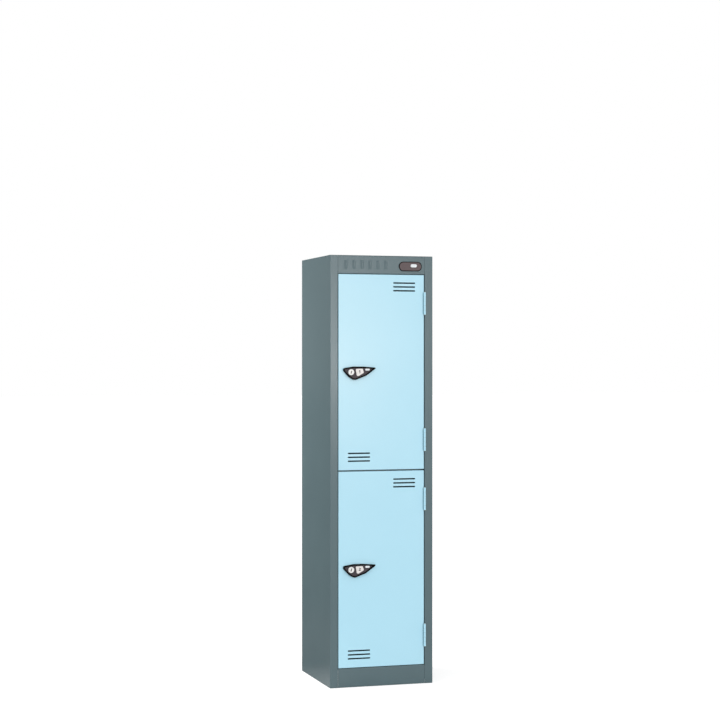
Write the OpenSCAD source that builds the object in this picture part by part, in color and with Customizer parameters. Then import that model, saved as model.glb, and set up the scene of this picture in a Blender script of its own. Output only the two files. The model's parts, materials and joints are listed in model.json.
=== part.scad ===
// Two-compartment steel school locker, 1220 x 305 x 305 mm.
// Frame: origin on the floor under the middle of the body, +X to the right seen from the front,
// +Y towards the back, +Z up. The front face of the body lies on y = -body_d / 2.

/* [Body] */
// Overall width of the body
body_w = 305; // [290:5:460]
// Overall depth of the body
body_d = 305; // [280:5:460]
// Overall height of the body
body_h = 1220; // [1180:5:1400]
// Thickness of the folded steel sheet
sheet = 1; // [0.8:0.1:1.2]
// Outside radius of the sheet bends
bend_r = 1.5; // [1.5:0.1:2]
// Width of the left front upright
stile_w = 23; // [20:1:26]
// Width of the right front upright, which carries the hinges
hinge_stile_w = 24; // [22:1:28]
// Depth of the return behind each front upright, to the face of the door stop
jamb_d = 19.5; // [19.5:0.5:22]
// Width of the door stop
stop_w = 10; // [8:1:12]
// Height of the front kick rail
plinth_h = 53.5; // [45:0.5:60]
// Height of the front top rail, with its cap
header_h = 52; // [46:0.5:60]

/* [Doors] */
// Gap between the two doors
door_gap = 4; // [3:0.5:6]
// Gap round the other edges of a door
edge_gap = 1.5; // [1.5:0.5:4]
// Gap on the hinge side, which holds both hinge leaves
hinge_gap = 2; // [2:0.1:3]
// Thickness of a door
door_t = 17; // [16:0.5:17]
// Width of the lip round the back of a door
lip_w = 12; // [10:1:14]
// Length of one ventilation slot
vent_l = 66; // [40:2:70]
// Height of one ventilation slot
vent_t = 4; // [2:0.5:5]
// Distance between ventilation slots
vent_pitch = 11; // [9:0.5:12]

/* [Hinges] */
// Length of a hinge
hinge_l = 64; // [50:1:80]
// Outside diameter of the hinge knuckles
knuckle_d = 6.6; // [6.2:0.2:7.6]
// Diameter of the hinge pin
pin_d = 3.5; // [3:0.5:4]
// Distance from a door's top edge to the middle of its upper hinge
hinge_top = 81; // [60:1:120]
// Distance from a door's bottom edge to the middle of its lower hinge
hinge_bottom = 84; // [60:1:120]

/* [Lock] */
// Distance from the door's free edge to the lock
lock_inset = 36; // [34:0.5:40]
// Length of the cam from the lock's axis to its tip
cam_l = 45; // [44:1:48]
// Diameter of the turning plug
plug_d = 12.4; // [12:0.1:12.6]
// Lean of the keyway from upright, in degrees
keyway_lean = 20; // [0:5:30]

/* [Hidden] */
$fn = 96;

GREY = [0.36, 0.41, 0.43];
BLUE = [0.66, 0.84, 0.92];
STEEL = [0.72, 0.72, 0.73];
BLACK = [0.05, 0.05, 0.055];
BROWN_GREY = [0.36, 0.33, 0.33];

// Body
half_t = sheet / 2;
half_w = body_w / 2;
front_y = -body_d / 2;
back_y = body_d / 2;
skin_y = front_y + sheet;            // inner face of the front sheets
left_jamb = half_w - stile_w;        // opening side of each jamb, from the middle
right_jamb = half_w - hinge_stile_w;
stop_y = front_y + jamb_d;           // front face of the door stops
stop_back_y = stop_y + sheet;
left_stop = left_jamb - stop_w;      // inner edge of each door stop, from the middle
right_stop = right_jamb - stop_w;
header_z = body_h - header_h;        // underside of the top rail
cap_z = body_h - sheet;              // underside of the cap

// Doors
door_left = -left_jamb + edge_gap;
door_right = right_jamb - hinge_gap;
door_h = (header_z - plinth_h - 2 * edge_gap - door_gap) / 2;
lower_z = plinth_h + edge_gap;       // bottom edge of each door
upper_z = lower_z + door_h + door_gap;
door_zs = [lower_z, upper_z];
mid_z = upper_z - door_gap / 2;
door_back_y = front_y + door_t;
inside_y = skin_y + 0.05;            // front of the parts fixed inside a door's face

// Trays
shelf_z = mid_z + 11.5;              // top of the shelf
floor_z = plinth_h + 10.5;           // top of the floor tray
tray_half_w = half_w - sheet - 0.1;
tray_back_y = back_y - 2 * sheet - 0.2;
tray_flange = 15;                    // height of the side and rear flanges

function middle_z(door_z) = door_z + door_h / 2;
function hinge_zs(door_z) = [door_z + hinge_bottom, door_z + door_h - hinge_top];
function unit(v) = v / norm(v);

// ---- helpers -------------------------------------------------------------

// Cross-section of a sheet folded square along a path of centre-line points.
module fold(path) {
    mid_r = bend_r - half_t;
    last = len(path) - 1;
    for (i = [0 : last - 1]) {
        along = unit(path[i + 1] - path[i]);
        start = path[i] + (i > 0 ? mid_r * along : [0, 0]);
        end = path[i + 1] - (i < last - 1 ? mid_r * along : [0, 0]);
        low = [min(start[0], end[0]), min(start[1], end[1])];
        high = [max(start[0], end[0]), max(start[1], end[1])];
        side = [abs(along[1]) * half_t, abs(along[0]) * half_t];
        translate(low - side) square(high - low + 2 * side);
    }
    for (i = [1 : last - 1]) {
        before = unit(path[i] - path[i - 1]);
        after = unit(path[i + 1] - path[i]);
        centre = path[i] - mid_r * before + mid_r * after;
        corner = centre - bend_r * after + bend_r * before;
        intersection() {
            translate(centre) difference() {
                circle(mid_r + half_t);
                circle(mid_r - half_t);
            }
            translate([min(centre[0], corner[0]), min(centre[1], corner[1])]) square(bend_r);
        }
    }
}

// Extrude a (y, z) section along x, an (x, y) section along z, or an (x, z) drawing along y.
module along_x(start, end)
    translate([start, 0, 0]) rotate([90, 0, 90]) linear_extrude(end - start) children();
module along_z(start, end) translate([0, 0, start]) linear_extrude(end - start) children();
module along_y(start, end)
    translate([0, end, 0]) rotate([90, 0, 0]) linear_extrude(end - start) children();

module block(low, high) { translate(low) cube(high - low); }
module rod_y(x, z, radius, start, end)
    translate([x, end, z]) rotate([90, 0, 0]) cylinder(r = radius, h = end - start);
module rod_x(y, z, radius, start, end)
    translate([start, y, z]) rotate([0, 90, 0]) cylinder(r = radius, h = end - start);

// Ends of the line touching circles a and b, [x, z, radius] each, drawn inset inside them.
function tangent(a, b, inset) = let(
    span = [b[0] - a[0], b[1] - a[1]],
    distance = norm(span),
    along = span / distance,
    out = [along[1], -along[0]],
    lean = (a[2] - b[2]) / distance,
    normal = out * sqrt(1 - lean * lean) + along * lean)
    [[a[0], a[1]] + (a[2] - inset) * normal, [b[0], b[1]] + (b[2] - inset) * normal];
// Outline that wraps a counter-clockwise ring of circles. Its polygon lies 0.004 further in.
module wrap(ring, inset = 0) {
    for (c = ring) translate([c[0], c[1]]) circle(c[2] - inset);
    polygon([for (i = [0 : len(ring) - 1])
        for (p = tangent(ring[i], ring[(i + 1) % len(ring)], inset + 0.004)) p]);
}
module slot2d(length, width) {
    square([length - width, width], center = true);
    for (s = [-1, 1]) translate([s * (length - width) / 2, 0]) circle(width / 2);
}
module round_rect(width, height, radius) {
    square([width - 2 * radius, height], center = true);
    square([width, height - 2 * radius], center = true);
    for (i = [-1, 1], j = [-1, 1])
        translate([i * (width / 2 - radius), j * (height / 2 - radius)]) circle(radius);
}

// ---- carcass ---------------------------------------------------------------

rivet_xs = [-half_w + 8, half_w - 8];
rivet_zs = [90, 350, mid_z, 870, body_h - 90];
buffer_x = -(left_jamb + left_stop) / 2;
buffer_zs = [for (door_z = door_zs, z = [90, door_h - 90]) door_z + z];
wall_hole_x = 90;
wall_hole_zs = [320, 1120];

hinge_x = right_jamb - hinge_gap / 2;   // hinge axis
hinge_y = front_y - 4;
screw_y = hinge_y + 12;
screw_dz = 20;                          // from a hinge's middle to each of its screws
screw_zs = [for (door_z = door_zs, z = hinge_zs(door_z), s = [-1, 1]) z + s * screw_dz];

// Left side for an upright that ends jamb from the middle: web, rear return and upright from one
// sheet, with the jamb and door stop folded in between the top and kick rails.
module side_sheet(jamb) {
    face_y = front_y + half_t;
    along_z(0, cap_z) fold([[-half_w + 15, back_y - half_t], [-half_w + half_t, back_y - half_t],
        [-half_w + half_t, face_y], [-jamb - 2.5, face_y]]);
    for (span = [[0, plinth_h], [header_z, cap_z]])
        along_z(span[0], span[1]) translate([-jamb - 3, front_y]) square([3, sheet]);
    along_z(plinth_h, header_z) fold([[-jamb - 6, face_y], [-jamb - half_t, face_y],
        [-jamb - half_t, stop_y + half_t], [-jamb + stop_w, stop_y + half_t]]);
}
module rivet_holes(x) { for (z = rivet_zs) rod_y(x, z, 2.1, back_y - 6, back_y + 1); }

module left_side_panel() color(GREY) difference() {
    side_sheet(left_jamb);
    rivet_holes(rivet_xs[0]);
    for (z = buffer_zs) rod_y(buffer_x, z, 2.1, stop_y - 1, stop_y + 3);
}

module right_side_panel() color(GREY) difference() {
    mirror([1, 0, 0]) side_sheet(right_jamb);
    rivet_holes(rivet_xs[1]);
    for (z = screw_zs) rod_x(screw_y, z, 2.15, right_jamb - 1, right_jamb + sheet + 1);
}

// Upright ribs, three behind each door.
module ribs(length, width, start, end) for (door_z = door_zs, x = [-60, 0, 60])
    translate([x, 0, middle_z(door_z)]) rotate([0, 90, 0])
        along_y(start, end) slot2d(length, width);
module back_panel() color(GREY) difference() {
    panel_y = back_y - 2 * sheet - 0.1;
    panel_half_w = half_w - bend_r - 0.1;
    union() {
        block([-panel_half_w, panel_y, 0], [panel_half_w, panel_y + sheet, cap_z - 0.2]);
        // pressed stiffening ribs on the inside
        ribs(330, 9, panel_y - 1, panel_y + 0.05);
    }
    ribs(327, 6, panel_y, back_y);
    for (x = rivet_xs) rivet_holes(x);
    for (x = [-wall_hole_x, wall_hole_x], z = wall_hole_zs)
        rod_y(x, z, 4, back_y - 6, back_y + 1);
}

module back_rivets() color(STEEL) for (x = rivet_xs, z = rivet_zs) {
    rod_y(x, z, 2, tray_back_y, back_y);
    rod_y(x, z, 3.6, back_y, back_y + 0.6);
    translate([x, back_y + 0.6, z]) rotate([-90, 0, 0]) cylinder(r1 = 3.6, r2 = 2.2, h = 0.6);
    rod_y(x, z, 2.9, tray_back_y - 2.2, tray_back_y);
}

// Flat tray with turned-down flanges that sits between the side webs, clear of the door stops.
// A foot turns the lower edge of the front flange back.
module tray(top, front_flange, foot = 0) {
    front = stop_y + half_t;
    side = tray_half_w - half_t;
    flat_y = stop_back_y + 0.2;
    foot_z = top - front_flange + half_t;
    along_x(-left_stop + 0.2, right_stop - 0.2) fold(concat(
        foot > 0 ? [[front + foot, foot_z], [front, foot_z]] : [[front, top - front_flange]],
        [[front, top - half_t], [tray_back_y - half_t, top - half_t],
            [tray_back_y - half_t, top - tray_flange]]));
    along_z(top - sheet, top) translate([-tray_half_w + bend_r, flat_y])
        square([2 * (tray_half_w - bend_r), tray_back_y - flat_y - bend_r]);
    along_y(stop_back_y + 2, tray_back_y - 2) fold([[-side, top - tray_flange],
        [-side, top - half_t], [side, top - half_t], [side, top - tray_flange]]);
}
module base_panel() color(GREY) tray(floor_z, 28);
module centre_shelf() color(GREY) tray(shelf_z, 24, foot = 12);

// Flat cap with a locating flange that drops just inside the side webs and the back.
module top_panel() color(GREY) {
    low = body_h - 15;
    high = body_h - half_t;
    along_z(cap_z, body_h) round_rect(body_w, body_d, bend_r);
    for (s = [0, 1]) mirror([s, 0, 0])
        block([-tray_half_w, stop_back_y + 1, low], [-tray_half_w + sheet, tray_back_y - 2, high]);
    block([-tray_half_w + 4, tray_back_y - sheet, low], [tray_half_w - 4, tray_back_y, high]);
}

flutes_x = -46;                 // middle of the row of flutes
flutes_z = body_h - 26.5;
flute_pitch = 23.6;
badge_x = 85;
badge_z = body_h - 29.5;
badge_peg_x = 20;               // from the badge's middle to each peg
badge_floor_y = front_y - 1.6;  // floor of the badge's recess
badge_seat_y = badge_floor_y - 0.02;

// Row of solid pressed flutes with sloping sides and ends, full size at start.
module flutes(width, height, slope, start, end) for (i = [-2.5 : 2.5])
    translate([flutes_x + i * flute_pitch, 0, flutes_z]) intersection() {
        along_z(-height, height) polygon([[-width / 2, start], [width / 2, start],
            [width / 2 - slope, end], [-width / 2 + slope, end]]);
        along_x(-width, width) polygon([[start, -height / 2], [start, height / 2],
            [end, height / 2 - slope], [end, -height / 2 + slope]]);
    }
// Top rail: face, underside return and door stop, with a row of shallow pressed flutes.
module header_rail() color(GREY) {
    top = cap_z - half_t;
    low = header_z + half_t;
    face_y = front_y + half_t;
    difference() {
        union() {
            along_x(-left_jamb + 0.5, right_jamb - 0.5)
                fold([[front_y + 13, top], [face_y, top], [face_y, low], [stop_y - 0.1, low]]);
            along_x(-left_stop + 0.1, right_stop - 0.1)
                fold([[stop_y - 8, low], [stop_y + half_t, low],
                    [stop_y + half_t, header_z - 9.5]]);
            flutes(14.08, 29.08, 3.93, face_y, skin_y + 2.2);
        }
        flutes(14.91, 29.91, 4.655, front_y - 1, front_y + 2.2);
        for (s = [-1, 1]) rod_y(badge_x + badge_peg_x * s, badge_z, 1.6, front_y - 2, skin_y + 1);
    }
}

module at_badge() { translate([badge_x, 0, badge_z]) children(); }
module badge_outline(inset) { round_rect(68 - 2 * inset, 27 - 2 * inset, 13 - inset); }
module inlay_outline(gap) { translate([10, 2]) slot2d(19 + gap, 9 + gap); }
module header_badge() color(BLACK) at_badge() difference() {
    union() {
        along_y(front_y - 2.8, front_y) badge_outline(0);
        for (s = [-1, 1]) rod_y(badge_peg_x * s, 0, 1.5, front_y - 0.5, front_y + 2.2);
    }
    along_y(front_y - 4, badge_floor_y) badge_outline(1.8);
}
module badge_face() color(BROWN_GREY) at_badge() difference() {
    along_y(front_y - 2.3, badge_seat_y) badge_outline(1.9);
    along_y(front_y - 4, front_y) inlay_outline(0.2);
}
module badge_inlay() color([0.86, 0.9, 0.92]) at_badge()
    along_y(front_y - 2.7, badge_seat_y) inlay_outline(0);

// Kick rail: bottom return, face and top return, with a door stop behind.
module plinth_rail() color(GREY) {
    top = plinth_h - half_t;
    face_y = front_y + half_t;
    flange_y = stop_y - half_t - 0.2;
    along_x(-left_jamb + 0.5, right_jamb - 0.5)
        fold([[front_y + 15, half_t], [face_y, half_t], [face_y, top], [stop_y - 1.2, top]]);
    along_x(-left_stop + 0.2, right_stop - 0.2)
        fold([[front_y + 6, top], [flange_y, top], [flange_y, plinth_h - 12]]);
}

// Double coat hook hanging from a ceiling at height z.
module coat_hook(z) color(STEEL) translate([0, 20, z]) {
    wire_r = 3;
    curve_r = 12;
    drop = 24;
    along_z(-2, 0) round_rect(44, 22, 4);
    translate([0, 0, -drop]) cylinder(r = wire_r, h = drop - 1);
    for (s = [0, 1]) mirror([s, 0, 0]) {
        translate([curve_r, 0, -drop]) rotate([-90, 0, 0])
            rotate_extrude(angle = 180) translate([curve_r, 0]) circle(wire_r);
        translate([2 * curve_r, 0, -drop]) cylinder(r = wire_r, h = 9);
        translate([2 * curve_r, 0, -drop + 10]) sphere(4.4);
    }
}

module door_buffers() color([0.12, 0.12, 0.12]) for (z = buffer_zs) {
    rod_y(buffer_x, z, 4, stop_y - 2.4, stop_y);
    rod_y(buffer_x, z, 2, stop_y - 1, stop_back_y + 1);
    rod_y(buffer_x, z, 2.9, stop_back_y, stop_back_y + 1.8);
}

// ---- hinges ---------------------------------------------------------------

leaf_t = 0.9;
knuckle_r = knuckle_d / 2;
pin_r = pin_d / 2;
knuckle_count = 5;
knuckle_l = hinge_l / knuckle_count;
leaf_front_y = hinge_y + knuckle_r + 0.4;
leaf_back_y = hinge_y + 17.5;
door_leaf_x = hinge_x - hinge_gap / 2;
frame_leaf_x = hinge_x + hinge_gap / 2 - leaf_t;

// Every second knuckle from the hinge's lower end, starting at first (0: door, 1: frame), each
// with a tongue that joins it to the leaf at leaf_x.
module knuckles(first, leaf_x) for (i = [first : 2 : knuckle_count - 1])
    translate([hinge_x, hinge_y, i * knuckle_l + 0.15]) difference() {
        union() {
            cylinder(r = knuckle_r, h = knuckle_l - 0.3);
            translate([leaf_x - hinge_x, 2.6, 0]) cube([leaf_t, 4, knuckle_l - 0.3]);
        }
        translate([0, 0, -1]) cylinder(r = pin_r + 0.05, h = knuckle_l + 2);
    }
module leaf(first, leaf_x) {
    knuckles(first, leaf_x);
    block([leaf_x, leaf_front_y, 0], [leaf_x + leaf_t, leaf_back_y, hinge_l]);
}
module hinge_door_leaves(door_z) color(BLUE) for (z = hinge_zs(door_z))
    translate([0, 0, z - hinge_l / 2]) leaf(0, door_leaf_x);
module hinge_frame_leaves(door_z) color(BLUE) for (z = hinge_zs(door_z))
    translate([0, 0, z - hinge_l / 2]) difference() {
        leaf(1, frame_leaf_x);
        // countersunk screw holes
        for (s = [-1, 1])
            translate([frame_leaf_x, screw_y, hinge_l / 2 + s * screw_dz]) rotate([0, 90, 0]) {
                translate([0, 0, -1]) cylinder(r = 2.15, h = 4);
                translate([0, 0, -0.01]) cylinder(r1 = 3.4, r2 = 2.15, h = 0.85);
            }
    }
module hinge_pins(door_z) color(STEEL) for (z = hinge_zs(door_z))
    translate([hinge_x, hinge_y, z - hinge_l / 2]) {
        wide_r = knuckle_r - 0.3;
        narrow_r = knuckle_r - 1.2;
        cylinder(r = pin_r, h = hinge_l);
        translate([0, 0, hinge_l]) cylinder(r1 = wide_r, r2 = narrow_r, h = 0.8);
        translate([0, 0, -0.8]) cylinder(r1 = narrow_r, r2 = wide_r, h = 0.8);
    }
module hinge_backing_plates() color(STEEL)
    for (door_z = door_zs, z = hinge_zs(door_z)) difference() {
        plate_x = right_jamb + sheet + 0.05;
        block([plate_x, hinge_y + 6.5, z - hinge_l / 2],
            [plate_x + 2.5, hinge_y + 18, z + hinge_l / 2]);
        for (s = [-1, 1]) rod_x(screw_y, z + s * screw_dz, 2, right_jamb, right_jamb + 5);
    }
// Countersunk screws with a cross recess.
module hinge_screws() color(STEEL) for (z = screw_zs)
    translate([frame_leaf_x, screw_y, z]) rotate([0, 90, 0]) difference() {
        union() {
            cylinder(r1 = 3.25, r2 = 1.9, h = 0.88);
            cylinder(r = 1.9, h = 7.5);
        }
        for (angle = [45, 135])
            rotate([0, 0, angle]) translate([-1.5, -0.35, -1]) cube([3, 0.7, 1.8]);
    }

// ---- doors ----------------------------------------------------------------

lock_x = door_left + lock_inset;
LOCK_PEGS = [[-18.5, 6], [55, 8]];   // [x, z] from the lock's axis

module at_lock(door_z) { translate([lock_x, 0, middle_z(door_z)]) children(); }
module lock_pegs(radius, start, end) for (p = LOCK_PEGS) rod_y(p[0], p[1], radius, start, end);

// Box with its upright edges and its edges along x rounded, given by two corners.
module soft_box(low, high, radius) intersection() {
    mid = (low + high) / 2;
    size = high - low;
    along_z(low[2], high[2]) translate([mid[0], mid[1]]) round_rect(size[0], size[1], radius);
    along_x(low[0], high[0]) translate([mid[1], mid[2]]) round_rect(size[1], size[2], radius);
}
// Round hole with two flats that keeps the lock housing from turning.
module lock_hole(start, end) intersection() {
    rod_y(0, 0, 8.2, start, end);
    block([-9, start, -7.15], [9, end, 7.15]);
}
module vent(x, z) for (i = [-1 : 1])
    translate([x, 0, z + i * vent_pitch]) along_y(front_y - 1, skin_y + 1) slot2d(vent_l, vent_t);
module door_skin(door_z) color(BLUE) difference() {
    top = door_z + door_h;
    low = [door_left, front_y, door_z];
    high = [door_right, door_back_y, top];
    wall = [sheet, sheet, sheet];
    soft_box(low, high, bend_r);
    soft_box(low + wall, high - wall, bend_r - sheet);
    block([door_left + lip_w, door_back_y - sheet - 1, door_z + lip_w],
        [door_right - lip_w, door_back_y + 1, top - lip_w]);
    // mitred corners of the lip round the back: [x, z, angle]
    for (c = [[door_left, door_z, 45], [door_right, door_z, -45],
            [door_right, top, -135], [door_left, top, 135]])
        translate([c[0], door_back_y, c[1]]) rotate([0, c[2], 0])
            block([-0.2, -sheet - 0.5, 3], [0.2, 1, 18]);
    vent(door_right - 59.5, top - 34.5);
    vent(door_left + 60.5, door_z + 36.5);
    at_lock(door_z) {
        lock_hole(front_y - 1, skin_y + 1);
        lock_pegs(2.2, front_y - 1, skin_y + 1);
    }
}
// Top-hat channel up the middle of the door's inside.
module door_stiffener(door_z) color(BLUE) along_z(door_z + 16, door_z + door_h - 16) {
    brim_y = inside_y + half_t;
    crown_y = inside_y + 11 - half_t;
    fold([[-25, brim_y], [-14, brim_y], [-14, crown_y], [14, crown_y], [14, brim_y], [25, brim_y]]);
}

// ---- locks ----------------------------------------------------------------
// Lock parts are drawn about the lock's axis and placed by at_lock().

surround_y = front_y - 6;        // front of the lock surround
recess_y = front_y - 3.8;        // floor of the surround's recess
seat_y = recess_y - 0.02;        // rear of the parts that sit on that floor
housing_back_y = stop_back_y - 0.6;
plug_front_y = recess_y - 3;
plug_r = plug_d / 2;
cam_y = stop_back_y + 0.5;       // front face of the cam
square_half = 3.5;               // half the width of the square that drives the cam
wafer_count = 6;
wafer_ys = [for (i = [0 : wafer_count - 1]) plug_front_y + 5 + 2.6 * i];

// Outlines below are counter-clockwise rings of circles: [x, z, radius].
// Lock surround: a plain rounded triangle.
SURROUND = [[-17.3, 6.2, 5.8], [-1, -5.4, 10], [10.4, -7.4, 14.4], [38.5, 1, 12.3],
    [69.8, 11, 2], [34, 3.8, 12], [7, 3.8, 12]];
// Recess in its front, 3.3 mm inside that outline, with its own circle at the right-hand tip.
RECESS = [for (i = [0 : len(SURROUND) - 1]) i == 4 ? [61.9, 9.3, 1] : SURROUND[i] - [0, 0, 3.3]];
// Compartment number plate.
PLATE = [[16.6, 6.4, 3], [20.4, -6.9, 4.2], [33.4, -0.2, 3.4], [31.6, 6.8, 3]];

module lock_backing_plate(door_z) color(STEEL) at_lock(door_z) difference() {
    along_y(inside_y, inside_y + 1.5) round_rect(26, 44, 3);
    lock_hole(front_y, front_y + 5);
}
module lock_escutcheon(door_z) color(BLACK) at_lock(door_z) difference() {
    union() {
        difference() {
            along_y(surround_y, front_y) wrap(SURROUND);
            along_y(surround_y - 1, recess_y) wrap(RECESS);
            along_y(front_y - 1.8, front_y + 1) wrap(RECESS, -1.3);
        }
        rod_y(0, 0, 11, recess_y, front_y);
        lock_pegs(3.2, front_y - 2.5, front_y);
        lock_pegs(2, front_y - 2.5, skin_y + 3);
    }
    rod_y(0, 0, 8.2, surround_y - 1, front_y + 1);
}
module indicator_outline(gap) { translate([48.2, 7.1]) slot2d(13.4 + gap, 5.6 + gap); }
module escutcheon_face(door_z) color(BROWN_GREY) at_lock(door_z) difference() {
    along_y(recess_y - 1, seat_y) wrap(RECESS, 0.15);
    rod_y(0, 0, 8.75, front_y - 10, front_y);
    along_y(front_y - 10, front_y) wrap(PLATE, -0.2);
    along_y(front_y - 10, front_y) indicator_outline(0.4);
}
module indicator(door_z) color([0.88, 0.9, 0.93]) at_lock(door_z)
    along_y(recess_y - 1.6, seat_y) indicator_outline(0);

// Plain compartment number, 1 or 2, 8.6 mm high, engraved in its plate.
module digit(number) {
    if (number == 1) {
        translate([-0.4, -4.3]) square([2, 8.6]);
        polygon([[-0.3, 4.3], [-0.3, 1.9], [-2.6, 0.6], [-2.6, 2.9]]);
    } else {
        difference() {
            translate([0, 1.5]) circle(2.8);
            translate([0, 1.5]) circle(1.1);
            polygon([[-4, 1.5], [0, 1.5], [1.6, -0.6], [1.6, -4], [-4, -4]]);
        }
        polygon([[0.8, 0.9], [2.6, 0.4], [-0.2, -2.6], [-2.8, -2.6]]);
        translate([-2.8, -4.3]) square([5.6, 1.8]);
    }
}
module number_plate(door_z, number) color([0.86, 0.84, 0.82]) at_lock(door_z) difference() {
    along_y(recess_y - 1.8, seat_y) wrap(PLATE);
    translate([25, 0, 1.2]) along_y(recess_y - 3, recess_y - 1.45) digit(number);
}
module push_nuts(door_z) color(STEEL) at_lock(door_z) difference() {
    lock_pegs(4.8, inside_y, inside_y + 0.6);
    lock_pegs(2.03, front_y, front_y + 5);
}

// Flanged barrel with flats above and below, bored for the plug.
module lock_housing(door_z) color([0.85, 0.85, 0.86]) at_lock(door_z) difference() {
    flange_y = recess_y - 2.6;
    union() {
        rod_y(0, 0, 8.5, flange_y, seat_y);
        translate([0, flange_y, 0]) rotate([90, 0, 0]) cylinder(r1 = 8.5, r2 = 7.8, h = 0.6);
        intersection() {
            rod_y(0, 0, 8, recess_y - 1, housing_back_y);
            block([-8, recess_y - 2, -7], [8, housing_back_y + 1, 7]);
        }
    }
    rod_y(0, 0, plug_r + 0.06, front_y - 20, housing_back_y + 1);
}
module lock_nut(door_z) color(STEEL) at_lock(door_z) difference() {
    along_y(skin_y + 1.6, skin_y + 5.6) circle(12.7, $fn = 6);
    rod_y(0, 0, 8.1, front_y, 0);
}
// Plug with a keyway, wafer slots and a square for the cam at its rear.
module lock_plug(door_z) color([0.8, 0.79, 0.76]) at_lock(door_z) difference() {
    union() {
        rod_y(0, 0, plug_r, plug_front_y, cam_y - 0.1);
        block([-square_half, cam_y - 1, -square_half], [square_half, cam_y + 2, square_half]);
    }
    rotate([0, keyway_lean, 0])
        block([-1.3, plug_front_y - 1, -4.2], [1.3, plug_front_y + 20.6, 4.2]);
    for (y = wafer_ys) rotate([0, keyway_lean, 0]) block([-2.6, y, -7], [2.6, y + 1.2, 7]);
    rod_y(0, 0, 2, cam_y - 5, cam_y + 3);
}
// Wafers whose windows sit at three heights in turn.
module lock_wafers(door_z) color([0.8, 0.66, 0.35]) at_lock(door_z)
    for (i = [0 : wafer_count - 1]) rotate([0, keyway_lean, 0]) difference() {
        y = wafer_ys[i];
        lift = 0.3 * (i % 3);
        block([-2.5, y + 0.1, -5.2], [2.5, y + 1.1, 5.2]);
        block([-1.35, y - 1, -4 + lift], [1.35, y + 2, 3.2 + lift]);
    }
// Cam plate hanging down from the plug's square: the unlocked position.
module lock_cam(door_z) color(STEEL) at_lock(door_z) difference() {
    tip_r = 8;
    hole = square_half + 0.05;
    along_y(cam_y, cam_y + 2) {
        circle(9);
        translate([-tip_r, -cam_l + 4]) square([2 * tip_r, cam_l - 4]);
        translate([0, -cam_l + tip_r]) circle(tip_r);
    }
    block([-hole, cam_y - 1, -hole], [hole, cam_y + 3, hole]);
}
// Screw with a washer and a cross recess in its head.
module cam_screw(door_z) color(STEEL) at_lock(door_z) difference() {
    union() {
        rod_y(0, 0, 1.95, cam_y - 4.5, cam_y + 2.5);
        rod_y(0, 0, 5.5, cam_y + 2.05, cam_y + 3.05);
        rod_y(0, 0, 3.6, cam_y + 3, cam_y + 5.2);
    }
    for (angle = [0, 90])
        rotate([0, angle, 0]) block([-2, cam_y + 4.1, -0.4], [2, cam_y + 6, 0.4]);
}

// ---- nodes ----------------------------------------------------------------

left_side_panel();
right_side_panel();
back_panel();
top_panel();
base_panel();
centre_shelf();
header_rail();
header_badge();
badge_face();
badge_inlay();
plinth_rail();
back_rivets();
coat_hook(cap_z);  // upper_coat_hook
coat_hook(shelf_z - sheet);  // lower_coat_hook
door_buffers();
hinge_backing_plates();
hinge_screws();
hinge_pins(upper_z);  // upper_hinge_pins
hinge_pins(lower_z);  // lower_hinge_pins
hinge_frame_leaves(upper_z);  // upper_hinge_frame_leaves
hinge_frame_leaves(lower_z);  // lower_hinge_frame_leaves
door_skin(upper_z);  // upper_door_skin
door_stiffener(upper_z);  // upper_door_stiffener
hinge_door_leaves(upper_z);  // upper_hinge_door_leaves
lock_backing_plate(upper_z);  // upper_lock_backing_plate
lock_escutcheon(upper_z);  // upper_lock_escutcheon
escutcheon_face(upper_z);  // upper_escutcheon_face
number_plate(upper_z, 1);  // upper_number_plate
indicator(upper_z);  // upper_indicator
push_nuts(upper_z);  // upper_push_nuts
lock_housing(upper_z);  // upper_lock_housing
lock_nut(upper_z);  // upper_lock_nut
lock_plug(upper_z);  // upper_lock_plug
lock_wafers(upper_z);  // upper_lock_wafers
lock_cam(upper_z);  // upper_lock_cam
cam_screw(upper_z);  // upper_cam_screw
door_skin(lower_z);  // lower_door_skin
door_stiffener(lower_z);  // lower_door_stiffener
hinge_door_leaves(lower_z);  // lower_hinge_door_leaves
lock_backing_plate(lower_z);  // lower_lock_backing_plate
lock_escutcheon(lower_z);  // lower_lock_escutcheon
escutcheon_face(lower_z);  // lower_escutcheon_face
number_plate(lower_z, 2);  // lower_number_plate
indicator(lower_z);  // lower_indicator
push_nuts(lower_z);  // lower_push_nuts
lock_housing(lower_z);  // lower_lock_housing
lock_nut(lower_z);  // lower_lock_nut
lock_plug(lower_z);  // lower_lock_plug
lock_wafers(lower_z);  // lower_lock_wafers
lock_cam(lower_z);  // lower_lock_cam
cam_screw(lower_z);  // lower_cam_screw
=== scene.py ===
"""A sheet-steel locker with an upper and a lower door, in a bright studio.

Metres. Z is up, the doors face -Y and their hinge pins are on the +X side.
Each CAD piece gets a procedural material, and the listed pieces get a finer copy with rounded
edges.
"""
import json
import math

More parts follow.
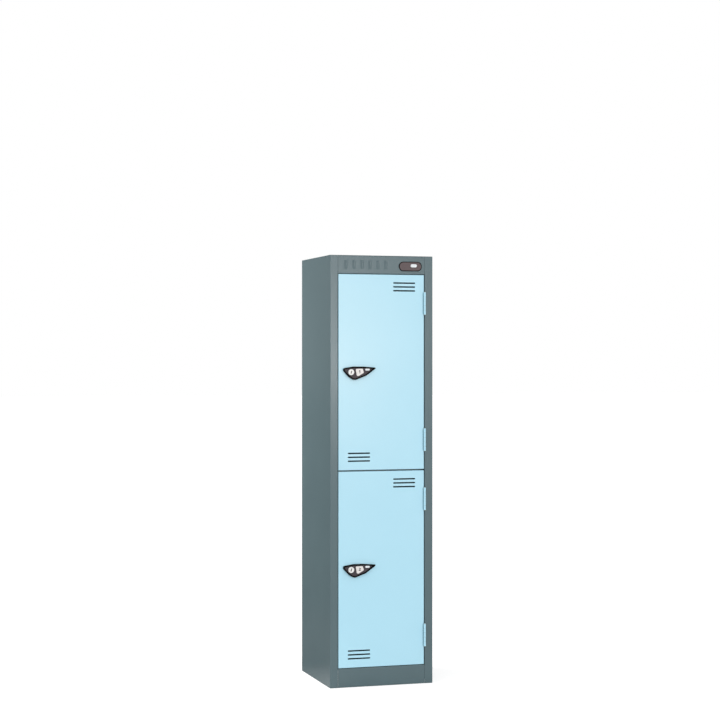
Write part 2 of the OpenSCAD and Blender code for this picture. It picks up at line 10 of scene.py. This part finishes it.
import bmesh
import bpy
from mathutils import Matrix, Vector


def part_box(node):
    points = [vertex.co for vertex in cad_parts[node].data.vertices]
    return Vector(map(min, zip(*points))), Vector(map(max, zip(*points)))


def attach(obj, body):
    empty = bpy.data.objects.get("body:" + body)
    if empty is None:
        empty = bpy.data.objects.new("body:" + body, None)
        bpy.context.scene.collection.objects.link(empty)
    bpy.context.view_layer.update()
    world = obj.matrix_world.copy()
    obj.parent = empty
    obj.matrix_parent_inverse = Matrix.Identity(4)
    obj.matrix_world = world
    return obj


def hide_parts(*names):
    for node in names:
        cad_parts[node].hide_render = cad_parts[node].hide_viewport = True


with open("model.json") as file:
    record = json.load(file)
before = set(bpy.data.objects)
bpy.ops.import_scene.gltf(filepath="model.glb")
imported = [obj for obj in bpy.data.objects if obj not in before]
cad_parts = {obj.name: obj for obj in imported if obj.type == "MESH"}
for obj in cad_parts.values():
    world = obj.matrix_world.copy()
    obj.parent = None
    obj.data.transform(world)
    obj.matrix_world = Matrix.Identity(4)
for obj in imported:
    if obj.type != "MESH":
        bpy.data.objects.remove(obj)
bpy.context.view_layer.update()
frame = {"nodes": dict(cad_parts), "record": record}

NODES = frame["nodes"]
BODY_OF = {
    node: body
    for body, nodes in frame["record"]["behaviour"]["bodies"].items()
    for node in nodes
}
SLOT_OF = {part["node"]: part["material_slot"] for part in frame["record"]["subparts"]}
SCENE = bpy.context.scene
DOORS = ("upper", "lower")
DOOR_FRONT_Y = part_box("upper_door_skin")[0][1]
HINGE_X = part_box("upper_hinge_pins")[0][0]  # -X side of the pins


def add_object(name, data):
    obj = bpy.data.objects.new(name, data)
    SCENE.collection.objects.link(obj)
    return obj


# ------------------------------------------------------------ shader nodes
class Shader:
    """Writes the node tree of a material or a world."""

    def __init__(self, owner, output="ShaderNodeOutputMaterial"):
        self.owner = owner
        owner.use_nodes = True
        self.tree = owner.node_tree
        self.tree.nodes.clear()
        self.output = self.tree.nodes.new(output)
        self.coordinates = self.node("ShaderNodeTexCoord").outputs

    def put(self, socket, value):
        """Link a socket, or set a value; a colour may leave out its alpha."""
        if isinstance(value, bpy.types.NodeSocket):
            self.tree.links.new(value, socket)
        elif socket.type == "RGBA" and len(value) == 3:
            socket.default_value = (*value, 1.0)
        else:
            socket.default_value = value

    def node(self, kind, *values, props=None, **named):
        """Add a node; inputs go by position or by name, with _ for a space."""
        node = self.tree.nodes.new(kind)
        for key, value in (props or {}).items():
            setattr(node, key, value)
        for index, value in enumerate(values):
            self.put(node.inputs[index], value)
        for key, value in named.items():
            self.put(node.inputs[key.replace("_", " ")], value)
        return node

    def stretched(self, scale):
        mapping = self.node("ShaderNodeMapping", Vector=self.coordinates["Object"], Scale=scale)
        return mapping.outputs["Vector"]

    def noise(self, scale, detail, rough=0.5, at=None):
        return self.node(
            "ShaderNodeTexNoise", Vector=at or self.coordinates["Object"],
            Scale=scale, Detail=detail, Roughness=rough,
        ).outputs["Fac"]

    def remap(self, value, span, to=(0.0, 1.0)):
        return self.node(
            "ShaderNodeMapRange", Value=value, From_Min=span[0], From_Max=span[1],
            To_Min=to[0], To_Max=to[1],
        ).outputs["Result"]

    def math(self, operation, first, second=0.0):
        props = {"operation": operation}
        return self.node("ShaderNodeMath", first, second, props=props).outputs[0]

    def mix(self, factor, first, second, blend="MIX"):
        node = self.tree.nodes.new("ShaderNodeMix")
        node.data_type = "RGBA"
        node.blend_type = blend
        # inputs 6 and 7 and output 2 are the colour sockets
        for index, value in ((0, factor), (6, first), (7, second)):
            self.put(node.inputs[index], value)
        return node.outputs[2]

    def mottle(self, tones, **noise):
        """Two colours blended by noise."""
        return self.mix(self.remap(self.noise(**noise), span=(0.3, 0.7)), *tones)

    def bump(self, height, distance, **inputs):
        node = self.node("ShaderNodeBump", Height=height, Distance=distance, **inputs)
        return node.outputs["Normal"]

    def edges(self):
        """Mask that is 1 on outside edges and 0 on flats."""
        bevel = self.node("ShaderNodeBevel", props={"samples": 4}, Radius=0.0006)
        flat = self.node("ShaderNodeNewGeometry")
        dot = self.node(
            "ShaderNodeVectorMath", bevel.outputs["Normal"], flat.outputs["Normal"],
            props={"operation": "DOT_PRODUCT"},
        )
        return self.remap(dot.outputs["Value"], span=(0.97, 0.75))

    def hollow(self, reach, span):
        """Mask that is 1 in creases and corners and 0 on open faces."""
        node = self.node("ShaderNodeAmbientOcclusion", props={"samples": 8}, Distance=reach)
        return self.remap(node.outputs["AO"], span)

    def xyz(self, space="Object"):
        return self.node("ShaderNodeSeparateXYZ", Vector=self.coordinates[space]).outputs

    def surface(self, node):
        self.tree.links.new(node.outputs[0], self.output.inputs["Surface"])
        return self.owner

    def principled(self, **inputs):
        return self.surface(self.node("ShaderNodeBsdfPrincipled", **inputs))


def new_shader(name):
    return Shader(bpy.data.materials.new(name))


# --------------------------------------------------------------- materials
def hinge_crease_shade(s):
    """Mask of painted shade in the creases where the hinge knuckles meet the front of the door."""
    place = s.xyz()
    front = s.remap(place["Y"], span=(DOOR_FRONT_Y + 0.0010, DOOR_FRONT_Y + 0.0016), to=(1.0, 0.0))
    near = s.remap(place["X"], span=(HINGE_X - 0.0125, HINGE_X - 0.0085), to=(0.0, 0.85))
    crease_shade = s.hollow(reach=0.005, span=(0.85, 0.4))
    return s.math("MULTIPLY", crease_shade, s.math("MULTIPLY", front, near))


def powder_coat(name, tones, worn, rough, coat=0.06, tint=(1.0, 1.0, 1.0), hinge_shade=None):
    """Painted sheet steel: orange peel, a slightly wavy sheet and worn edges."""
    s = new_shader(name)
    color = s.mottle(tones, scale=5.0, detail=3.0)
    fleck = s.remap(s.noise(scale=1500.0, detail=1.0), span=(0.35, 0.65), to=(0.975, 1.02))
    grey = s.node("ShaderNodeCombineColor", Red=fleck, Green=fleck, Blue=fleck).outputs[0]
    color = s.mix(1.0, color, grey, blend="MULTIPLY")
    patches = s.noise(scale=160.0, detail=3.0, rough=0.6)
    wear = s.math("MULTIPLY", s.edges(), s.remap(patches, span=(0.45, 0.75), to=(0.0, 0.55)))
    color = s.mix(wear, color, worn)
    # painted shade: a darker blue in the creases beside the hinge knuckles
    if hinge_shade:
        color = s.mix(hinge_crease_shade(s), color, hinge_shade)
    sheen = s.remap(
        s.noise(scale=9.0, detail=2.0), span=(0.25, 0.75), to=(rough - 0.02, rough + 0.02)
    )
    ripple = s.noise(scale=7.0, detail=1.0, at=s.stretched((1.0, 1.0, 0.55)))
    # a thicker clear coat shows more of the sheet's waviness
    wave = s.bump(ripple, distance=0.0012, Strength=0.22 * coat / 0.06)
    peel = s.noise(scale=620.0, detail=2.0, rough=0.45)
    return s.principled(
        Base_Color=color,
        Roughness=s.math("ADD", sheen, s.math("MULTIPLY", wear, 0.15)),
        Normal=s.bump(peel, distance=0.00005, Strength=0.55, Normal=wave),
        Specular_IOR_Level=0.5, Specular_Tint=tint, Coat_Weight=coat, Coat_Roughness=0.22,
    )


def metal(name, tones, rough, scratch, grain=(1, 1, 1), stain=None, metallic=1.0, crease_shade=None):
    """Bare or plated metal with fine scratches."""
    s = new_shader(name)
    color = s.mottle(tones, scale=60.0, detail=4.0, rough=0.6)
    if stain:
        patches = s.noise(scale=22.0, detail=2.0)
        color = s.mix(s.remap(patches, span=(0.45, 0.75), to=(0.0, 0.5)), color, stain)
    # painted shade: the colour darkens in hollows and creases
    if crease_shade:
        color = s.mix(s.hollow(reach=0.004, span=(0.8, 0.45)), color, crease_shade)
    fine = s.noise(scale=900.0, detail=3.0, rough=0.6, at=s.stretched(grain))
    return s.principled(
        Base_Color=color,
        Roughness=s.remap(fine, span=(0.25, 0.75), to=(rough * 0.75, rough * 1.3)),
        Metallic=metallic,
        Normal=s.bump(fine, distance=0.00003, Strength=scratch),
    )


def plastic(name, tones, rough, specular=0.5, crease_shade=None):
    """Moulded plastic with paler worn edges."""
    s = new_shader(name)
    color = s.mottle(tones, scale=90.0, detail=3.0)
    patches = s.noise(scale=300.0, detail=2.0)
    wear = s.math("MULTIPLY", s.edges(), s.remap(patches, span=(0.45, 0.7), to=(0.0, 0.35)))
    color = s.mix(wear, color, tuple(min(1.0, c * 1.6 + 0.03) for c in tones[0]))
    # painted shade: the colour darkens in hollows and creases
    if crease_shade:
        color = s.mix(s.hollow(reach=0.003, span=(0.94, 0.6)), color, crease_shade)
    sheen = s.noise(scale=240.0, detail=3.0)
    return s.principled(
        Base_Color=color,
        Roughness=s.remap(sheen, span=(0.3, 0.7), to=(rough - 0.04, rough + 0.06)),
        Normal=s.bump(s.noise(scale=1600.0, detail=2.0), distance=0.00003, Strength=0.3),
        Specular_IOR_Level=specular,
    )


def rubber():
    s = new_shader("black_rubber")
    tones = ((0.010, 0.010, 0.010), (0.022, 0.021, 0.020))
    sheen = s.noise(scale=200.0, detail=2.0)
    return s.principled(
        Base_Color=s.mottle(tones, scale=300.0, detail=3.0),
        Roughness=s.remap(sheen, span=(0.3, 0.7), to=(0.72, 0.86)),
        Normal=s.bump(s.noise(scale=900.0, detail=3.0), distance=0.00008, Strength=0.6),
    )


def number_plate(door):
    """Warm white moulding whose engraved number is filled with dark ink."""
    front_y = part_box(door + "_number_plate")[0][1]
    plug_low, plug_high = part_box(door + "_lock_plug")
    # the inked window is placed from the middle of the lock plug
    window_x = (plug_low[0] + plug_high[0]) / 2 + 0.025
    window_z = (plug_low[2] + plug_high[2]) / 2 + 0.0012
    s = new_shader(door + "_number_plate_moulding")
    place = s.xyz()

    def within(axis, middle, span):
        offset = s.math("ABSOLUTE", s.math("SUBTRACT", place[axis], middle))
        return s.remap(offset, span, to=(1.0, 0.0))

    engraved = s.remap(place["Y"], span=(front_y + 0.00020, front_y + 0.00028))
    window = s.math(
        "MULTIPLY",
        within("X", window_x, span=(0.0035, 0.0036)),
        within("Z", window_z, span=(0.0048, 0.0049)),
    )
    tones = ((0.70, 0.665, 0.645), (0.74, 0.705, 0.685))
    base = s.mottle(tones, scale=120.0, detail=3.0)
    ink = (0.012, 0.011, 0.012)
    sheen = s.noise(scale=240.0, detail=3.0)
    return s.principled(
        Base_Color=s.mix(s.math("MULTIPLY", engraved, window), base, ink),
        Roughness=s.remap(sheen, span=(0.3, 0.7), to=(0.26, 0.36)),
        Normal=s.bump(s.noise(scale=1400.0, detail=2.0), distance=0.00003, Strength=0.25),
    )


GREY = powder_coat(
    "grey_powder_coat", tones=((0.0800, 0.1265, 0.1405), (0.0860, 0.1345, 0.1485)),
    worn=(0.17, 0.20, 0.21), rough=0.24,
)
BLUE = powder_coat(
    "pale_blue_powder_coat", tones=((0.418, 0.714, 0.852), (0.433, 0.729, 0.867)),
    worn=(0.66, 0.82, 0.87), rough=0.25, coat=0.03, tint=(1.0, 0.70, 0.48),
    # colour of the painted shade beside the hinge knuckles
    hinge_shade=(0.10, 0.22, 0.27),
)
STEEL = metal(
    "zinc_plated_steel", tones=((0.50, 0.51, 0.52), (0.62, 0.62, 0.62)),
    rough=0.34, scratch=0.35, grain=(1, 1, 0.2), stain=(0.62, 0.60, 0.50),
)
NICKEL = metal(
    "satin_nickel", tones=((0.80, 0.80, 0.79), (0.84, 0.84, 0.83)),
    rough=0.46, scratch=0.2, metallic=0.35,
)
PLUG = metal(
    "plug_nickel", tones=((0.74, 0.73, 0.71), (0.78, 0.77, 0.75)),
    # painted shade, nearly black, down the keyway and in the plug's other hollows
    rough=0.42, scratch=0.3, metallic=0.45, crease_shade=(0.02, 0.02, 0.02),
)
BRASS = metal(
    "brass_sheet", tones=((0.66, 0.45, 0.17), (0.74, 0.53, 0.22)), rough=0.3, scratch=0.3
)
BLACK = plastic(
    "black_moulding", tones=((0.0018, 0.0022, 0.0026), (0.0030, 0.0034, 0.0038)),
    rough=0.32, specular=0.04,
)
TAUPE = plastic(
    "taupe_moulding", tones=((0.058, 0.046, 0.052), (0.066, 0.053, 0.059)),
    # painted shade, nearly black, in the hollows of the lock surround's face
    rough=0.38, specular=0.18, crease_shade=(0.004, 0.004, 0.005),
)
BADGE = plastic(
    "badge_moulding", tones=((0.098, 0.070, 0.073), (0.108, 0.079, 0.082)),
    rough=0.36, specular=0.3,
)
PALE = plastic("pale_moulding", tones=((0.72, 0.76, 0.79), (0.76, 0.80, 0.82)), rough=0.3)

SLOT_MATERIALS = {
    "carcass_paint": GREY,
    "door_paint": BLUE,
    "zinc_steel": STEEL,
    "lock_chrome": NICKEL,
    "black_plastic": BLACK,
    "taupe_plastic": TAUPE,
    "pale_plastic": PALE,
    "brass": BRASS,
    "rubber": rubber(),
}
# pieces that differ from the rest of their slot
OWN_MATERIALS = {"badge_face": BADGE}
for door in DOORS:
    OWN_MATERIALS[door + "_number_plate"] = number_plate(door)
    OWN_MATERIALS[door + "_lock_plug"] = PLUG

for name, obj in NODES.items():
    obj.data.materials.clear()
    obj.data.materials.append(OWN_MATERIALS.get(name) or SLOT_MATERIALS[SLOT_OF[name]])


# ----------------------------------------------------------- rounded edges
SHEET_EDGE = 0.00022
# bevel width, segments, pieces
BODY_EDGES = (
    (SHEET_EDGE, 2, (
        "left_side_panel", "right_side_panel", "top_panel", "base_panel",
        "centre_shelf", "plinth_rail", "back_panel", "header_rail",
    )),
    (0.0005, 3, ("header_badge", "badge_face", "badge_inlay")),
    (0.0006, 3, ("upper_coat_hook", "lower_coat_hook")),
    (0.0002, 2, (
        "back_rivets", "door_buffers", "hinge_backing_plates", "hinge_screws",
        "upper_hinge_pins", "lower_hinge_pins",
    )),
)
# the same for each door, without the door's name in front
DOOR_EDGES = (
    (0.0003, 2, ("hinge_frame_leaves", "hinge_door_leaves")),
    (SHEET_EDGE, 2, ("door_skin", "door_stiffener")),
    (0.0002, 2, ("lock_backing_plate",)),
    (0.0007, 3, ("lock_escutcheon",)),
    (0.0002, 2, ("escutcheon_face",)),
    (0.00022, 2, ("number_plate",)),
    (0.0005, 3, ("indicator",)),
    (0.00015, 2, ("push_nuts",)),
    (0.0003, 3, ("lock_housing",)),
    (0.0004, 2, ("lock_nut",)),
    (0.0003, 2, ("lock_cam", "cam_screw")),
    (0.0001, 2, ("lock_plug",)),
)


def rounded_mesh(node, width, segments):
    """The CAD mesh, cleaned up, with its sharp outside edges bevelled."""
    bm = bmesh.new()
    bm.from_mesh(NODES[node].data)
    bmesh.ops.remove_doubles(bm, verts=bm.verts, dist=2e-5)
    bmesh.ops.dissolve_degenerate(bm, dist=1e-7, edges=bm.edges)
    bmesh.ops.dissolve_limit(
        bm, angle_limit=math.radians(0.5), use_dissolve_boundaries=False,
        verts=bm.verts, edges=bm.edges,
    )
    bmesh.ops.recalc_face_normals(bm, faces=bm.faces)
    sharp = math.radians(35.0)
    edges = [e for e in bm.edges if e.is_manifold and e.calc_face_angle_signed(0.0) > sharp]
    bmesh.ops.bevel(
        bm, geom=edges, offset=width, offset_type="OFFSET", segments=segments,
        profile=0.5, affect="EDGES", clamp_overlap=True, loop_slide=True,
    )
    bmesh.ops.remove_doubles(bm, verts=bm.verts, dist=3e-6)
    mesh = bpy.data.meshes.new(node + "_finish")
    bm.to_mesh(mesh)
    bm.free()
    return mesh


def finish(node, width, segments):
    """Add a finer copy of a CAD piece, which stands for it."""
    mesh = rounded_mesh(node, width, segments)
    mesh.materials.append(NODES[node].data.materials[0])
    for polygon in mesh.polygons:
        polygon.use_smooth = True
    mesh.set_sharp_from_angle(angle=math.radians(50))
    obj = add_object(node + "_finish", mesh)
    obj.modifiers.new("weighted", "WEIGHTED_NORMAL").keep_sharp = True
    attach(obj, BODY_OF[node])
    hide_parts(node)


def finish_all(table, prefix=""):
    for width, segments, pieces in table:
        for piece in pieces:
            finish(prefix + piece, width, segments)


finish_all(BODY_EDGES)
for door in DOORS:
    finish_all(DOOR_EDGES, prefix=door + "_")


# ------------------------------------------------------------------- stage
def add_floor():
    half = 40.0
    corners = [(-half, -half, 0), (half, -half, 0), (half, half, 0), (-half, half, 0)]
    mesh = bpy.data.meshes.new("floor")
    mesh.from_pydata(corners, [], [(0, 1, 2, 3)])
    floor = add_object("floor", mesh)
    floor.location.z = -0.0004
    s = new_shader("studio_floor")
    ray = s.node("ShaderNodeLightPath").outputs
    # reflections see a floor that is bright in front of the locker and dark behind it
    behind = s.remap(s.xyz()["Y"], span=(-0.25, 0.25))
    reflected = s.mix(behind, (0.85, 0.85, 0.85), (0.10, 0.10, 0.10))
    color = s.mix(ray["Is Glossy Ray"], (0.62, 0.62, 0.62), reflected)
    diffuse = s.node("ShaderNodeBsdfDiffuse", Color=color)
    # a glow that only the camera sees
    strength = s.math("MULTIPLY", ray["Is Camera Ray"], 0.62)
    glow = s.node("ShaderNodeEmission", Color=(1.0, 1.0, 1.0), Strength=strength)
    both = s.node("ShaderNodeAddShader", diffuse.outputs[0], glow.outputs[0])
    mesh.materials.append(s.surface(both))


def add_world():
    """Plain white to the camera; as light, brighter in front than behind."""
    white = (1.0, 1.0, 1.0)
    world = bpy.data.worlds.new("studio")
    SCENE.world = world
    s = Shader(world, output="ShaderNodeOutputWorld")
    strength = s.remap(s.xyz("Generated")["Y"], span=(-1.0, 1.0), to=(1.36, 0.16))
    lit = s.node("ShaderNodeBackground", Color=white, Strength=strength)
    seen = s.node("ShaderNodeBackground", Color=white, Strength=1.0)
    ray = s.node("ShaderNodeLightPath").outputs["Is Camera Ray"]
    s.surface(s.node("ShaderNodeMixShader", ray, lit.outputs[0], seen.outputs[0]))


def add_area(name, place, aim, size, power, color=(1, 1, 1), glossy=False, diffuse=True):
    """A rectangular light, hidden from the camera and from reflections by default."""
    light = bpy.data.lights.new(name, "AREA")
    light.shape = "RECTANGLE"
    light.size, light.size_y = size
    light.energy = power
    light.color = color
    obj = add_object(name, light)
    obj.location = place
    obj.rotation_euler = (Vector(aim) - Vector(place)).to_track_quat("-Z", "Y").to_euler()
    obj.visible_camera = False
    obj.visible_glossy = glossy
    obj.visible_diffuse = diffuse


def add_camera():
    lens = bpy.data.cameras.new("camera")
    lens.sensor_width = 36.0
    lens.lens = 89.345
    lens.clip_start = 0.05
    lens.clip_end = 200.0
    camera = add_object("camera", lens)
    camera.location = (-1.53736, -4.98485, 0.92398)
    # level, turned towards +X
    camera.rotation_euler = (math.radians(90.0), 0.0, math.radians(-16.95))
    SCENE.camera = camera


add_floor()
add_world()
add_area("fill_front", place=(0.3, -6.0, 0.9), aim=(0.0, 0.0, 0.6), size=(3.0, 3.0), power=84)
add_area("fill_left", place=(-6.5, -0.5, 1.6), aim=(0.0, 0.0, 0.8), size=(2.4, 2.4), power=60)
add_area(
    "fill_left_rear", place=(-1.22, 0.90, 0.96), aim=(-0.15, 0.05, 0.86),
    size=(0.6, 0.7), power=23.0, color=(1.0, 0.93, 0.90),
)
add_area(
    "highlight", place=(0.86, -4.0, 0.98), aim=(-0.14, -0.15, 0.95),
    size=(0.36, 0.55), power=9.0, glossy=True, diffuse=False,
)
add_camera()
SCENE.view_settings.view_transform = "Standard"
SCENE.view_settings.look = "None"

bpy.context.view_layer.update()
